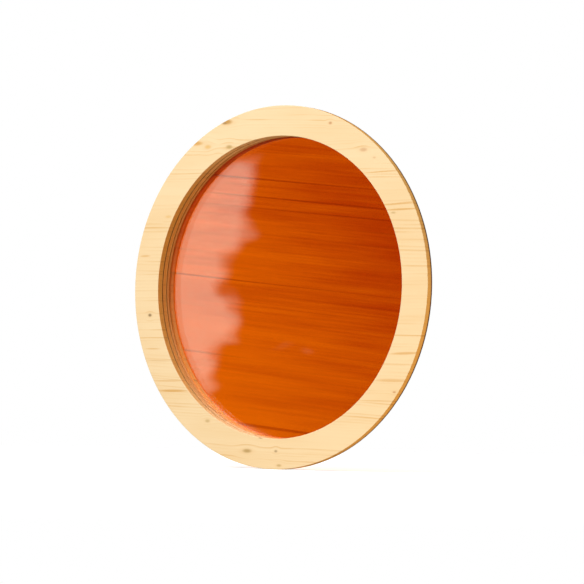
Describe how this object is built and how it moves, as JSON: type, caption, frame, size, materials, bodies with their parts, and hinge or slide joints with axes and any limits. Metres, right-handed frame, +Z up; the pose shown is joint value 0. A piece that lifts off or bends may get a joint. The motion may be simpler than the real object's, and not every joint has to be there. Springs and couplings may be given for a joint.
{
  "type": "round window",
  "caption": "Round window: a flat wooden front ring on a wooden glazing ring that holds a sealed unit with an orange tinted pane, for a hole in a wall.",
  "frame": {"origin": "on the window's axis at the wall plane, where the wall seal meets the wall", "axes": "+Y along the axis from the front face into the wall, +Z up, +X to the right seen from the front"},
  "size_m": [0.8, 0.064, 0.8],
  "materials": {
    "pine_front": "smooth planed pine with a clear oil",
    "pine_liner": "pine, amber brown and smooth",
    "pine_rear": "smooth planed pine with a clear oil",
    "seal_rubber": "dark foam rubber, matt",
    "glazing_tape": "brown foam tape, matt",
    "clear_glass": "clear float glass, gloss",
    "orange_glass": "orange tinted glass, gloss",
    "bronze_spacer": "light bronze foam spacer, satin",
    "edge_sealant": "black edge sealant, matt",
    "block_plastic": "blue grey moulded plastic",
    "beech": "plain fluteless beech",
    "zinc_steel": "zinc plated steel"
  },
  "bodies": {
    "root": {"front_ring": "pine_front", "wall_seal": "seal_rubber", "joint_seal": "seal_rubber", "glazing_ring": "pine_liner", "front_glazing_tape": "glazing_tape", "outer_pane": "clear_glass", "edge_spacer": "bronze_spacer", "edge_sealant": "edge_sealant", "inner_pane": "orange_glass", "setting_block_left": "block_plastic", "setting_block_right": "block_plastic", "location_block_left": "block_plastic", "location_block_right": "block_plastic", "rear_glazing_tape": "glazing_tape", "rear_ring": "pine_rear", "joint_dowels": "beech", "retaining_screws": "zinc_steel"}
  },
  "joints": []
}
